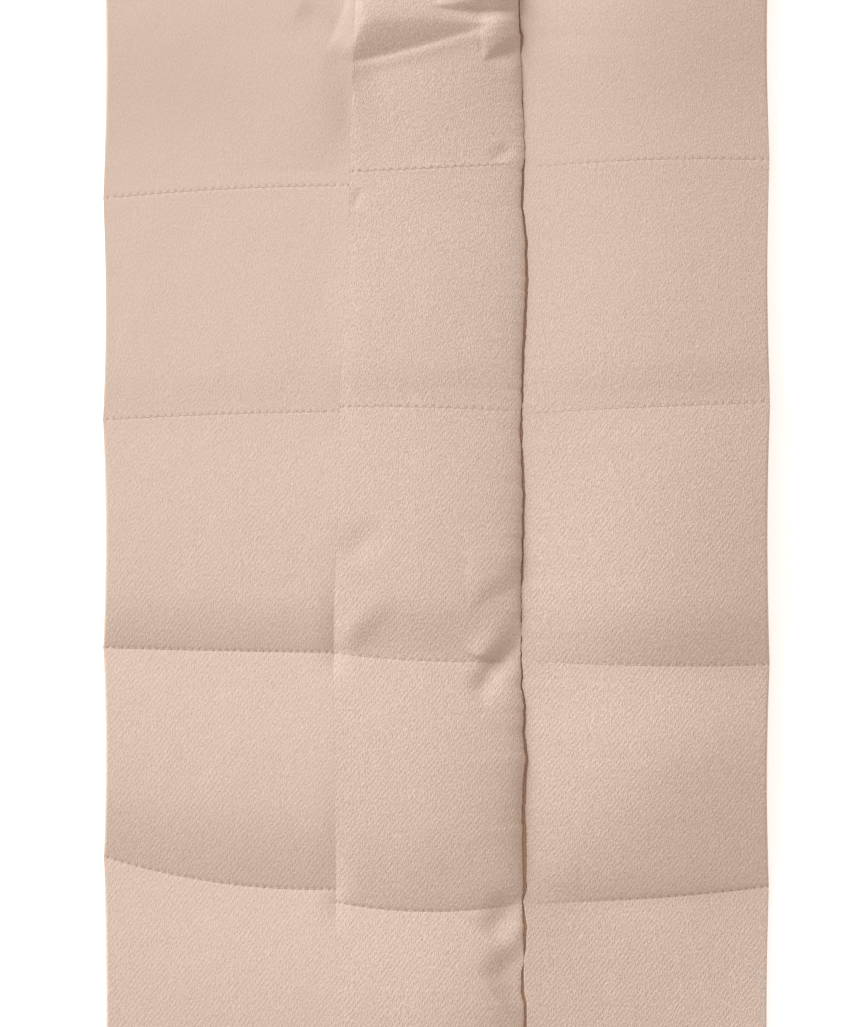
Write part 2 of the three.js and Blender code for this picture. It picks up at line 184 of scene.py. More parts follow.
# Folds and creases of the face, each along a curve through three points. above and below are how far it
# reaches on its two sides, seen with the top edge upwards. power is its sharpness: 1 is a sharp crease and
# 2 a soft hollow. A depth below zero is a ridge. bulge is how high the cloth swells on the upper side, and
# run_out how far above that it takes to come down again. The fades are the shares of its length over which
# its two ends run out, in height and in the size of the bulge. hold is how far from a sewn line it has its
# full height, or 0 where it crosses the line.
FOLD_COLUMNS = (
    "panel", "start", "middle", "end", "above", "below", "power", "depth", "bulge", "run_out", "fade_in",
    "fade_out", "hold",
)
FOLD_ROWS = [
    ("placket", (-29.5, 157.9), (-5.7, 163.2), (18.0, 170.8), 12.0, 14.0, 1.2, 2.1, 3.4, 28, 0.2, 0.9, 2),
    ("placket", (-29.5, 156.2), (-5.7, 161.5), (18.0, 169.1), 1.5, 2.6, 2.0, -0.55, 0.0, 1, 0.15, 0.5, 2),
    ("placket", (13.0, 163.0), (16.5, 168.5), (24.0, 173.5), 3.5, 3.5, 2.0, -0.5, 0.0, 1, 0.4, 0.3, 2),
    ("placket", (15.5, 158.3), (21.5, 160.8), (30.5, 163.2), 4.8, 3.0, 1.4, 1.9, 1.9, 22, 0.9, 0.0, 2),
    ("placket", (-2.0, 176.3), (14.0, 174.8), (30.5, 176.0), 5.5, 2.5, 1.4, 1.4, 2.8, 26, 0.9, 0.0, 2),
    ("placket", (18.0, 125.0), (22.0, 128.0), (25.5, 130.5), 2.5, 2.5, 2.0, 0.5, 0.0, 1, 0.4, 0.4, 2),
    ("placket", (-28.5, 109.0), (-26.5, 112.5), (-25.8, 116.5), 1.5, 1.5, 1.5, 0.4, 0.0, 1, 0.4, 0.4, 2),
    ("placket", (-31.0, -8.0), (-25.5, -2.5), (-17.0, 4.0), 5.0, 5.0, 2.0, 0.6, 0.0, 1, 0.5, 0.5, 2),
    ("placket", (-32.0, -37.5), (-26.5, -29.5), (-15.0, -18.5), 5.0, 5.0, 2.0, -0.9, 0.0, 1, 0.4, 0.6, 2),
    ("placket", (10.0, -24.4), (19.3, -20.2), (29.0, -14.8), 5.0, 6.0, 2.0, 0.6, 0.5, 20, 0.6, 0.0, 2),
    ("placket", (16.0, -41.6), (24.6, -39.0), (28.3, -32.8), 4.0, 3.0, 1.6, 1.6, 0.0, 1, 0.7, 0.0, 0),
    ("placket", (14.0, -41.5), (16.8, -37.0), (22.5, -28.0), 5.0, 4.5, 2.0, -1.4, 0.0, 1, 0.4, 0.8, 2),
    ("placket", (11.5, -53.5), (15.8, -49.0), (19.0, -42.5), 3.5, 4.5, 2.0, 1.4, 0.0, 1, 0.6, 0.0, 0),
    ("placket", (4.0, -118.0), (16.5, -117.3), (28.5, -115.5), 9.0, 5.0, 2.0, -0.4, 0.0, 1, 0.9, 0.0, 2),
    ("placket", (17.0, -135.0), (20.3, -130.0), (23.5, -125.0), 5.0, 6.0, 2.0, 1.6, 0.0, 1, 0.5, 0.0, 0),
    ("placket", (16.5, -149.5), (22.5, -145.3), (29.0, -141.0), 5.5, 20.0, 2.0, 2.2, 0.0, 1, 0.6, 0.0, 2),
    ("placket", (29.0, -150.0), (29.0, -175.0), (29.0, -203.0), 11.0, 11.0, 2.0, 1.2, 0.0, 1, 0.4, 0.0, 2),
    ("left", (-38.0, 160.5), (-32.5, 159.2), (-27.0, 158.8), 10.5, 10.0, 2.0, 0.2, 0.7, 28, 0.9, 0.0, 2),
    ("left", (-46.0, 176.0), (-37.0, 170.5), (-28.0, 164.5), 4.0, 4.0, 2.0, 0.7, 0.0, 1, 0.3, 0.3, 2),
    ("left", (-41.0, 168.0), (-41.0, 145.0), (-41.0, 122.0), 10.0, 20.0, 2.0, -1.1, 0.0, 1, 0.5, 0.5, 2),
    ("left", (-27.9, 154.0), (-28.5, 142.0), (-28.9, 130.0), 4.0, 4.0, 2.0, 0.4, 0.0, 1, 0.4, 0.4, 2),
    ("right", (31.0, -118.5), (39.0, -118.0), (47.0, -120.5), 4.0, 3.0, 2.0, 0.5, 0.8, 16, 0.4, 0.4, 2),
    ("right", (36.0, -122.5), (54.0, -121.8), (84.0, -119.2), 14.0, 14.0, 1.5, 1.9, 0.0, 1, 0.5, 0.9, 0),
]
FOLDS = [dict(zip(FOLD_COLUMNS, row)) for row in FOLD_ROWS]
FOLD_STEPS = 12  # straight steps along each fold
BULGE_ROUNDING = 1.3  # 1 rises straight from the crease, and more is rounder
LEAST_SIZE = 0.05  # the least share of a bulge's size, at the ends of its fold

# Unevenness of the down under the cloth: size across of the lumps, and how high they stand
LUMPS = [
    {"across": 34.0, "height": 0.15},
    {"across": 15.0, "height": 0.08},
    {"across": 6.0, "height": 0.04},
]
LUMP_HOLD = 14.0  # how far from a sewn line they have their full height
NOISE_APART = 7.3  # between the places in the noise of two layers

# Frayed unevenness of the two sides of the slit: length of the waves, and how far they sway
EDGE_WAVES = [
    {"length": 4.0, "sway": 0.3},
    {"length": 1.6, "sway": 0.2},
]
SLIT_CLOSED = 0.02  # the least width of the slit
SLIT_OPEN = 0.6  # the width from which it is fully open

# Sewing: a needle hole for every STITCH_COLUMNS columns of the face, and a stitch between two holes
STITCH_PITCH = 2.6
STITCH_COLUMNS = 5
FIRST_HOLE = 2  # columns before the first hole
HOLE_RADIUS = 0.36
HOLE_DEPTH = 0.5
LINE_DIP = 0.03  # depth of the dip along a sewn line
LINE_DIP_REACH = 1.0
STITCH_LENGTH = 1.7
THREAD_RADIUS = 0.08
THREAD_SUNK = 0.2  # how far its ends lie in the cloth, as a share of its radius
THREAD_TIP = 0.28  # its least radius, at its ends, as a share
THREAD_BLUNTNESS = 4  # over 2, so that it is thick almost to its ends
STITCH_RINGS = 7
STITCH_SIDES = 6

# Fineness of the meshes: the rows of each channel, and the columns. A step of the back is as long as
# BACK_STEP steps of the face.
LEFT_ROWS = (100, 100, 100, 100, 100)
PLACKET_ROWS = (230, 125, 150, 130, 135)
RIGHT_ROWS = (100, 100, 100, 100, 100)
ROW_CROWDING = 0.4  # 0 spaces the rows evenly, and more crowds them at the sewn lines
LEFT_COLUMNS = 150
PLACKET_COLUMNS = 100
LAP_COLUMNS = 10
RIGHT_COLUMNS = 145
EDGE_COLUMNS = 10  # finer columns along each edge
EDGE_BAND = 0.04  # the share of a panel that they take up
LAP_CROWDING = 3  # over 1, so that the lap's columns are closer towards the slit
BACK_STEP = 5
SEAM_STEPS = 800  # places down the seam where the two faces are brought together

# Photograph
PHOTO_WIDTH = 868
PHOTO_HEIGHT = 1027
MM_PER_PIXEL = 1 / 3
PIXEL_OF_ORIGIN = (437.0, 536.5)
CAMERA_DISTANCE = 1400.0  # from the camera down to FACE_HEIGHT
SENSOR = 36.0
FACE_HEIGHT = 14.0  # the height on the cloth at which MM_PER_PIXEL is true


def lerp(a, b, share):
    """From a at share 0 to b at share 1."""
    return a + (b - a) * share


def smoothstep(value, low, high):
    """0 below low, 1 above high, and smooth between."""
    share = np.clip((value - low) / (high - low), 0, 1)
    return share * share * (3 - 2 * share)


def through(values, share):
    """A curve through three values at the start, middle and end of the share 0 to 1."""
    start, middle, end = values
    rest = 1 - share
    return start * rest * (rest - share) + 4 * middle * share * rest + end * share * (share - rest)


def crowd(share, amount):
    """Moves evenly spaced shares towards 0 and 1."""
    return share - amount * np.sin(2 * np.pi * share) / (2 * np.pi)


def column_of(table, key):
    """One column of a table, as an array."""
    return np.array([row[key] for row in table], float)


def noise_at(*coordinates):
    """Smooth noise from -1 to 1 at each point."""
    shape = np.broadcast(*coordinates).shape
    points = np.stack([np.broadcast_to(c, shape).ravel() for c in coordinates], axis=-1)
    return np.array([noise.noise(Vector(point)) for point in points.tolist()]).reshape(shape)


def down_at(y):
    """Which channel each height on the piece is in, and how far down it."""
    lines = column_of(SEWN_LINES, "y")
    down = np.interp(-y, -lines, np.arange(len(lines)))
    index = np.minimum(down.astype(int), len(CHANNELS) - 1)
    return index, down - index


def seam_at(y):
    """x of the placket's seam at each height."""
    index, share = down_at(y)
    values = column_of(SEAM, "x")
    return lerp(values[index], values[index + 1], smoothstep(share, 0, 1))


def seam_ditch(y):
    """Depth at each height of the ditch that the seam lies in."""
    index, share = down_at(y)
    values = column_of(SEAM, "ditch")
    below_line = values[index] * (1 - smoothstep(share, 0, SEAM_DITCH_BELOW))
    return below_line + values[index + 1] * smoothstep(share, 1 - SEAM_DITCH_ABOVE, 1)


class Rows:
    """Rows of points down the piece: the channel that each is in, and how far down the channel it is."""

    def __init__(self, counts):
        counts = np.array(counts)
        self.lines = np.concatenate([[0], np.cumsum(counts)])
        self.index = np.append(np.repeat(np.arange(len(counts)), counts), len(counts) - 1)
        even = (np.arange(self.lines[-1] + 1) - self.lines[self.index]) / counts[self.index]
        self.share = crowd(even, ROW_CROWDING)[:, None]
        self.swell = np.sin(np.pi * self.share)
        self.from_line = np.minimum(self.share, 1 - self.share) * CHANNEL_HEIGHT

    def between_lines(self, values, share):
        """Values of the sewn lines, carried from each line to the next."""
        values = values.reshape(len(SEWN_LINES), -1)
        return lerp(values[self.index], values[self.index + 1], share)

    def sewn_face(self, name):
        """Height of the face if nothing filled it."""
        return self.between_lines(column_of(SEWN_FACES, name), self.share)

    def height(self, panel, across):
        """y of the points that lie across a panel."""
        lines = np.array([line["y"] + through(line[panel], across) for line in SEWN_LINES])
        return self.between_lines(lines, self.share)

    def filling(self, panel):
        """How high the filling lifts the face over its sewn lines."""
        crown, crest, leave, meet = column_of(CHANNELS, panel)[self.index].T[:, :, None]
        rise = np.sin(np.pi / 2 * np.minimum(1, self.share / crest)) ** leave
        fall = np.cos(np.pi / 2 * np.clip((self.share - crest) / (1 - crest), 0, 1)) ** meet
        return crown * np.where(self.share < crest, rise, fall)

    def free_face(self):
        """Height of the placket's face along its free edge."""
        return self.sewn_face("placket") - FREE_EDGE_DROP + FREE_EDGE_FILL * self.filling("placket")


def roll(from_edge, width, power=EDGE_POWER):
    """The rounded rise from an edge of the filled cloth: 0 there, and 1 from width onwards."""
    rest = 1 - np.clip(from_edge / width, 0, 1)
    return (1 - rest**power) ** (1 / power)


def ramp(from_edge, width):
    """1 at an edge, falling ever more gently to 0 at width."""
    return (1 - np.clip(from_edge / width, 0, 1)) ** 2


def spread(count):
    """Shares across a panel: even columns, with finer ones in a narrow band at each edge."""
    edge = EDGE_BAND * np.linspace(0, 1, EDGE_COLUMNS, endpoint=False) ** 2
    return np.concatenate([edge, np.linspace(EDGE_BAND, 1 - EDGE_BAND, count + 1), 1 - edge[::-1]])


def nearest_on(route, x, y):
    """The distance of each point from a route, how far along it the nearest place is, and if it is above."""
    away = np.full_like(x, np.inf)
    share = np.zeros_like(x)
    above = np.zeros_like(x, dtype=bool)
    for step in range(FOLD_STEPS):
        (start_x, end_x), (start_y, end_y) = [part[step:step + 2] for part in route]
        run_x, run_y = end_x - start_x, end_y - start_y
        along = ((x - start_x) * run_x + (y - start_y) * run_y) / (run_x**2 + run_y**2)
        along = np.clip(along, 0, 1)
        distance = np.hypot(x - start_x - along * run_x, y - start_y - along * run_y)
        side = (y - start_y) * run_x - (x - start_x) * run_y
        nearer = distance < away
        away = np.where(nearer, distance, away)
        share = np.where(nearer, (step + along) / FOLD_STEPS, share)
        above = np.where(nearer, side > 0, above)
    return away, share, above


def fade(share, length):
    """The running out of a fold at one end: 0 at the end and 1 from length onwards."""
    return np.sin(np.pi / 2 * np.minimum(1, share / length)) if length else 1


def hump(away, reach, run_out):
    """A swelling beside a fold: 0 at the fold, 1 at its reach, and running out beyond."""
    rise = 1 - (1 - np.clip(away / reach, 0, 1)) ** BULGE_ROUNDING
    fall = np.cos(np.pi / 2 * np.clip((away - reach) / run_out, 0, 1)) ** 2
    return np.where(away < reach, rise, fall)


def fold_height(panel, rows, x, y):
    """How much the folds of one panel raise its face at each point, or lower it."""
    total = np.zeros_like(x)
    shares = np.linspace(0, 1, FOLD_STEPS + 1)
    for fold in FOLDS:
        if fold["panel"] != panel:
            continue
        route = [through(part, shares) for part in zip(fold["start"], fold["middle"], fold["end"])]
        away, share, above = nearest_on(route, x, y)
        strength = fade(share, fold["fade_in"]) * fade(1 - share, fold["fade_out"])
        beside = away / np.where(above, fold["above"], fold["below"])
        crease = fold["depth"] * np.exp(-(beside ** fold["power"]))
        size = np.maximum(strength, LEAST_SIZE)
        swelling = fold["bulge"] * np.where(above, hump(away / size, fold["above"], fold["run_out"]), 0)
        held = smoothstep(rows.from_line, 0, fold["hold"]) if fold["hold"] else 1
        total += (swelling - crease) * strength * held
    return total


def lumpiness(x, y):
    """Soft unevenness of the filling."""
    total = np.zeros_like(x)
    for layer, row in enumerate(LUMPS):
        total += row["height"] * noise_at(x / row["across"], y / row["across"], layer * NOISE_APART)
    return total


def sewing_depth(rows, columns):
    """The dip along each sewn line, and the needle holes in it."""
    place = np.arange(columns + 2 * EDGE_COLUMNS + 1) - EDGE_COLUMNS - FIRST_HOLE
    beside = np.abs((place + STITCH_COLUMNS / 2) % STITCH_COLUMNS - STITCH_COLUMNS / 2)
    from_hole = beside * STITCH_PITCH / STITCH_COLUMNS
    dip = LINE_DIP * np.exp(-((rows.from_line / LINE_DIP_REACH) ** 2))
    return dip + HOLE_DEPTH * np.exp(-(from_hole**2 + rows.from_line**2) / HOLE_RADIUS**2)


def filling_height(panel, rows, x, y):
    """How high a filled panel's face stands over its sewn lines, away from its edges."""
    lumps = lumpiness(x, y) * smoothstep(rows.from_line, 0, LUMP_HOLD)
    return rows.filling(panel) + lumps


def back_fill(rows, edges):
    """How far the underside has come down from its sewn lines: 1 where it lies flat."""
    return np.minimum(1, FLAT_BACK_FILL * rows.swell * edges)


def wobble(y, seed):
    """Small unevenness of an edge along its length."""
    waves = [row["sway"] * noise_at(y / row["length"], seed * NOISE_APART, 0.0) for row in EDGE_WAVES]
    return sum(waves)


def slit_sides(y):
    """x of the placket's free edge at each height, and of the right panel's filled part across the slit."""
    down = -column_of(SLIT, "y")
    middle = np.interp(-y, down, column_of(SLIT, "x")) + wobble(y, 0)
    width = np.interp(-y, down, column_of(SLIT, "width")) + wobble(y, 1)
    half = np.maximum(SLIT_CLOSED, width) / 2
    return middle - half, middle + half


# The shares across a panel of its first and last edges
FIRST = np.array([0.0])
LAST = np.array([1.0])


def left_panel(rows):
    """Points of the left panel: x, y, and the heights of its face and back."""
    start = -CLOTH_WIDTH / 2 + SIDE_DRAW_IN * rows.swell
    end = seam_at(rows.height("left", LAST)) - SEAM_GAP / 2
    across = spread(LEFT_COLUMNS)
    x = lerp(start, end, across)
    y = rows.height("left", across)
    sewn = lerp(rows.sewn_face("outer_left"), rows.sewn_face("left"), across)
    filled = filling_height("left", rows, x, y) + fold_height("left", rows, x, y)
    filled -= sewing_depth(rows, LEFT_COLUMNS)
    face = sewn + filled * roll(x - start, OUTER_ROLL)
    edges = roll(x - start, OUTER_BACK_ROLL) * roll(end - x, SEAM_BACK_ROLL)
    back = (sewn - SEWN_THICKNESS) * (1 - back_fill(rows, edges))
    return x, y, face, back


def placket(rows):
    """Points of the placket, sewn down along its left edge and free along its right."""
    start = seam_at(rows.height("placket", FIRST)) + SEAM_GAP / 2
    end = slit_sides(rows.height("placket", LAST))[0]
    across = spread(PLACKET_COLUMNS)
    x = lerp(start, end, across)
    y = rows.height("placket", across)
    sewn = rows.sewn_face("placket") - SEAM_DROP * ramp(x - start, SEAM_ROLL)
    filled = filling_height("placket", rows, x, y) - sewing_depth(rows, PLACKET_COLUMNS)
    rounded = roll(end - x, FREE_EDGE_ROLL, BROAD_POWER)
    folds = fold_height("placket", rows, x, y) * roll(end - x, FOLD_EDGE_ROLL, BROAD_POWER)
    face = lerp(rows.free_face(), sewn + filled, rounded) + folds
    on_lap = lap_height(rows, end - x) + LAY_GAP
    under = sewn - FREE_EDGE_DROP * (1 - rounded) - SEWN_THICKNESS
    back = lerp(np.maximum(under, on_lap), on_lap, back_fill(rows, roll(x - start, SEAM_BACK_ROLL)))
    return x, y, face, back


def lap_height(rows, from_free_edge):
    """The right panel's face under the placket, flat at first and rising to the free edge."""
    under_edge = rows.free_face() - FREE_EDGE_THICKNESS - LAY_GAP
    return lerp(LAP_THICKNESS, under_edge, ramp(from_free_edge, FREE_EDGE_RAMP))


def right_panel(rows):
    """Points of the right panel, flat where it runs under the placket and filled from the slit on."""
    slit_height = rows.height("right", FIRST)
    lap_end = seam_at(slit_height) + LAP_SHORT_OF_SEAM
    free_edge, start = slit_sides(slit_height)
    end = CLOTH_WIDTH / 2 - SIDE_DRAW_IN * rows.swell
    lap = 1 - (1 - np.linspace(0, 1, LAP_COLUMNS, endpoint=False)) ** LAP_CROWDING
    shown = spread(RIGHT_COLUMNS)
    x = np.hstack([lerp(lap_end, start, lap), lerp(start, end, shown)])
    across = np.hstack([np.zeros(LAP_COLUMNS), shown])
    y = rows.height("right", across)
    fallen = ramp(end - x, RIGHT_FALL)
    sewn = lerp(rows.sewn_face("right"), rows.sewn_face("outer_right"), fallen)
    filled = filling_height("right", rows, x, y) + fold_height("right", rows, x, y)
    filled = filled * (1 - RIGHT_FILLING_LOSS * fallen)
    filled[:, LAP_COLUMNS:] -= sewing_depth(rows, RIGHT_COLUMNS)
    filled = filled * roll(end - x, OUTER_ROLL)
    opening = np.minimum(1, (start - free_edge) / SLIT_OPEN)
    at_slit = rows.free_face() - SLIT_STEP * opening
    shown_face = lerp(sewn + filled, at_slit, ramp(x - start, BESIDE_SLIT_REACH))
    lap_face = lap_height(rows, free_edge - x)
    lap_face = lerp(SEWN_THICKNESS, lap_face, roll(x - lap_end, LAP_END_ROLL))
    face = lerp(lap_face, shown_face, roll(x - start, SLIT_WALL_ROLL * opening))
    under = lerp(LAP_GROOVE, sewn - SEWN_THICKNESS, smoothstep(x - start, 0, LAP_RISE))
    back = under * (1 - back_fill(rows, roll(end - x, OUTER_BACK_ROLL)))
    return x, y, face, back


def join_at_seam(left, strip):
    """Brings the left panel's and the placket's faces to one height along the seam, in a shallow ditch."""
    ends = [(left, -1), (strip, 0)]
    down = np.linspace(SEWN_LINES[-1]["y"], SEWN_LINES[0]["y"], SEAM_STEPS)
    seam = sum(np.interp(down, y[::-1, at], face[::-1, at]) for (_, y, face, _), at in ends) / 2
    for (x, y, face, _), at in ends:
        own = np.interp(y, y[::-1, at], face[::-1, at])
        shared = np.interp(y, down, seam) - seam_ditch(y)
        face += (shared - own) * ramp(np.abs(x - x[:, at, None]), SEAM_REACH)


def grid_faces(numbers):
    """Quads of a grid of vertex numbers, facing up where x runs along a row and y down the rows."""
    a, b = numbers[:-1, :-1], numbers[1:, :-1]
    c, d = numbers[1:, 1:], numbers[:-1, 1:]
    return np.stack([a, b, c, d], axis=-1).reshape(-1, 4).tolist()


def around(numbers):
    """The vertex numbers round a grid's border, anticlockwise from above, from its first corner."""
    down_left, along_bottom = numbers[:-1, 0], numbers[-1, :-1]
    up_right, along_top = numbers[:0:-1, -1], numbers[0, :0:-1]
    return np.concatenate([down_left, along_bottom, up_right, along_top])


def rim_faces(face_border, back_border):
    """Triangles between the face's border and the back's, which has a vertex for each BACK_STEP of it."""
    faces = []
    half = BACK_STEP // 2
    for k, here in enumerate(back_border):
        ahead = back_border[(k + 1) % len(back_border)]
        fine = [face_border[(k * BACK_STEP + i) % len(face_border)] for i in range(BACK_STEP + 1)]
        for i in range(BACK_STEP):
            faces.append((fine[i + 1], fine[i], here if i <= half else ahead))
        faces.append((fine[half + 1], here, ahead))
    return [tuple(int(n) for n in face) for face in faces]


def mesh_object(name, points, faces, material):
    """A smooth-shaded mesh object of points in millimetres."""
    mesh = bpy.data.meshes.new(name)
    mesh.from_pydata((np.asarray(points) * MM).tolist(), [], faces)
    mesh.polygons.foreach_set("use_smooth", [True] * len(mesh.polygons))
    mesh.materials.append(material)
    mesh.update()
    piece = bpy.data.objects.new(name, mesh)
    bpy.context.scene.collection.objects.link(piece)
    return piece


def panel_object(name, shape, material):
    """A closed panel: a fine face, a coarser back, and the rim between them."""
    x, y, face, back = shape
    few = (slice(None, None, BACK_STEP), slice(None, None, BACK_STEP))
    face_points = np.stack([x, y, face], axis=-1).reshape(-1, 3)
    back_points = np.stack([x[few], y[few], back[few]], axis=-1).reshape(-1, 3)
    face_numbers = np.arange(len(face_points)).reshape(x.shape)
    back_numbers = len(face_points) + np.arange(len(back_points)).reshape(x[few].shape)
    faces = grid_faces(face_numbers)
    faces += [tuple(reversed(quad)) for quad in grid_faces(back_numbers)]
    faces += rim_faces(around(face_numbers), around(back_numbers))
    return mesh_object(name, np.concatenate([face_points, back_points]), faces, material)


def paint_shade_on_lap(cloth, shape, columns):
    """Marks the part of the face that lies down in the slit, where shade is painted on in dark brown."""
    marks = np.zeros(len(cloth.data.vertices))
    face = marks[:shape[0].size].reshape(shape[0].shape)
    face[:, :columns] = 1
    cloth.data.attributes.new(LAP_PAINTED_SHADE_MARK, "FLOAT", "POINT").data.foreach_set("value", marks)


def stitch_points(start, end):
    """Rings of points of one stitch, a short thread that dips into the cloth at both ends."""
    run = (end - start) / np.linalg.norm(end - start)
    side = np.cross((0, 0, 1), run)
    up = np.cross(run, side)
    points = []
    for ring in range(STITCH_RINGS):
        along = 2 * ring / (STITCH_RINGS - 1) - 1
        rise = (1 - THREAD_SUNK) * (1 - along**2) - THREAD_SUNK
        radius = THREAD_RADIUS * max(THREAD_TIP, math.sqrt(1 - along**THREAD_BLUNTNESS))
        centre = lerp(start, end, (1 + along) / 2) + rise * THREAD_RADIUS * up
        for k in range(STITCH_SIDES):
            turn = math.tau * k / STITCH_SIDES
            points.append(centre + radius * (math.cos(turn) * side + math.sin(turn) * up))
    return points


def tube_faces(first):
    """Faces of one stitch whose points start at the number first."""
    faces = []
    for ring in range(STITCH_RINGS - 1):
        for k in range(STITCH_SIDES):
            a = first + ring * STITCH_SIDES + k
            b = first + ring * STITCH_SIDES + (k + 1) % STITCH_SIDES
            faces.append((a, b, b + STITCH_SIDES, a + STITCH_SIDES))
    last = first + (STITCH_RINGS - 1) * STITCH_SIDES
    faces.append(tuple(first + k for k in reversed(range(STITCH_SIDES))))
    faces.append(tuple(last + k for k in range(STITCH_SIDES)))
    return faces


def stitches_object(name, shape, rows, first_column, material):
    """Stitches from needle hole to needle hole along every sewn line of a panel."""
    x, y, face, _ = shape
    points, faces = [], []
    first_hole = first_column + EDGE_COLUMNS + FIRST_HOLE
    holes = range(first_hole, x.shape[1] - EDGE_COLUMNS, STITCH_COLUMNS)
    for row in rows.lines[1:-1]:
        cloth = np.stack([x[row], y[row], face[row]], axis=-1)
        for hole in holes[:-1]:
            middle = cloth[hole + STITCH_COLUMNS // 2]
            run = cloth[hole + STITCH_COLUMNS] - cloth[hole]
            half = run / np.linalg.norm(run) * STITCH_LENGTH / 2
            faces += tube_faces(len(points))
            points += stitch_points(middle - half, middle + half)
    return mesh_object(name, points, faces, material)


# Finish of the cloth: a granular nap of short fibres over twill lines
TWILL_ANGLE = math.radians(52.5)
TWILL_PITCH = 1.37
TWILL_WOBBLE = 2.5
WAVE_RATE = 20.0  # radians that a wave texture of scale 1 turns over one unit
NAP_ANGLE = math.radians(88)
NAP_WIDTH = 0.32
NAP_LENGTH = 0.9
GRAIN_ACROSS = 0.33
GRAIN_SHARE = 0.2  # of the relief, where the rest is nap
TONE_NAP_SHARE = 0.45  # of the tone, where the rest is grain
NOISE_DETAIL = 0.0
RELIEF = 0.45  # height of the relief at full strength
TONE_MIDDLE = 0.5  # tone of cloth without nap
TONE_RANGE = (0.32, 0.68)  # tones of the darkest cloth and the lightest
CLOTH_LIGHT = (0.690, 0.519, 0.423, 1)
CLOTH_DARK = (0.430, 0.322, 0.262, 1)
# Painted shade: the lap down in the slit is coloured dark brown to stand for the shadow there
LAP_PAINTED_SHADE = (0.60, 0.385, 0.26, 1)
LAP_PAINTED_SHADE_TONE = 0.0  # tone of the painted shade on the lap down in the slit
LAP_PAINTED_SHADE_MARK = "lap_painted_shade"  # name of the mark on the part of the mesh where that shade is painted
CLOTH_FINISH = {
    "Roughness": 0.95,
    "Specular IOR Level": 0.2,
    "Sheen Weight": 0.15,
    "Sheen Roughness": 0.6,
}

# How strong each panel's nap is, and the share of the twill: the least and the most, and where it grows.
# That is the direction, turned from x towards the lower edge, the distance, and the start.
NAP_GROWTH = {
    "left": {"limits": (0.21, 0.48), "turn": math.radians(46), "across": 123.0, "start": 1.33},
    "placket": {"limits": (0.52, 0.6), "turn": math.radians(53), "across": 200.0, "start": 0.82},
    "right": {"limits": (0.22, 0.63), "turn": math.radians(53), "across": 200.0, "start": 0.82},
}
TWILL_GROWTH = {"limits": (0.0, 0.135), "turn": math.radians(85), "across": 120.0, "start": 0.9}

# Light: the surround is warm and the window light is cool, and together they are white
TO_LIGHT = (-0.673, 0.606, 0.423)
WINDOW_COLOUR = (0.826, 0.920, 1.0)
WINDOW_STRENGTH = 4.13
WINDOW_ANGLE = math.radians(35)
SURROUND_COLOUR = (1.0, 0.93, 0.87, 1)
SURROUND_STRENGTH = 0.748
FLOOR_COLOUR = (0.93, 0.93, 0.93, 1)
FLOOR_GLOW_COLOUR = (1, 1, 1, 1)
FLOOR_GLOW = 0.4
FLOOR_ROUGHNESS = 0.9
FLOOR_SIDE = 3000.0


def add_node(tree, kind, **settings):
    """A shader node with its settings, where a setting of an input is named by that input."""
    node = tree.nodes.new(kind)
    for key, value in settings.items():
        if key in node.inputs:
            node.inputs[key].default_value = value
        else:
            setattr(node, key, value)
    return node


def feed(tree, value, socket):
    """Gives a socket a texture or a number."""
    if isinstance(value, bpy.types.NodeSocket):
        tree.links.new(value, socket)
    else:
        socket.default_value = value


def mixed(tree, share, first, second):
    """The mix of two textures or numbers, with a share of the second that may be a texture too."""
    mix = add_node(tree, "ShaderNodeMix", data_type="FLOAT")
    feed(tree, share, mix.inputs["Factor"])
    feed(tree, first, mix.inputs["A"])
    feed(tree, second, mix.inputs["B"])
    return mix.outputs["Result"]


def turned(tree, place, angle):
    """Coordinates whose y runs at an angle from x."""
    mapping = add_node(tree, "ShaderNodeMapping", Rotation=(0, 0, math.pi / 2 - angle))
    tree.links.new(place, mapping.inputs["Vector"])
    return mapping.outputs["Vector"]


def fine_noise(tree, place, width, length):
    """Soft noise whose grains are width across and length along."""
    cells = (1 / (width * MM), 1 / (length * MM), 1 / (length * MM))
    stretched = add_node(tree, "ShaderNodeMapping", Scale=cells)
    tree.links.new(place, stretched.inputs["Vector"])
    texture = add_node(tree, "ShaderNodeTexNoise", Scale=1.0, Detail=NOISE_DETAIL)
    tree.links.new(stretched.outputs["Vector"], texture.inputs["Vector"])
    return texture.outputs["Fac"]


def growth(tree, place, limits, turn, across, start):
    """A value that grows from one limit to the other over a distance across the cloth."""
    mapping = add_node(tree, "ShaderNodeMapping", Rotation=(0, 0, turn), Location=(start, 0, 0))
    mapping.inputs["Scale"].default_value = (1 / (across * MM),) * 3
    tree.links.new(place, mapping.inputs["Vector"])
    gradient = add_node(tree, "ShaderNodeTexGradient")
    tree.links.new(mapping.outputs["Vector"], gradient.inputs["Vector"])
    grown = add_node(tree, "ShaderNodeMapRange")
    grown.inputs["To Min"].default_value, grown.inputs["To Max"].default_value = limits
    tree.links.new(gradient.outputs["Fac"], grown.inputs["Value"])
    return grown.outputs["Result"]


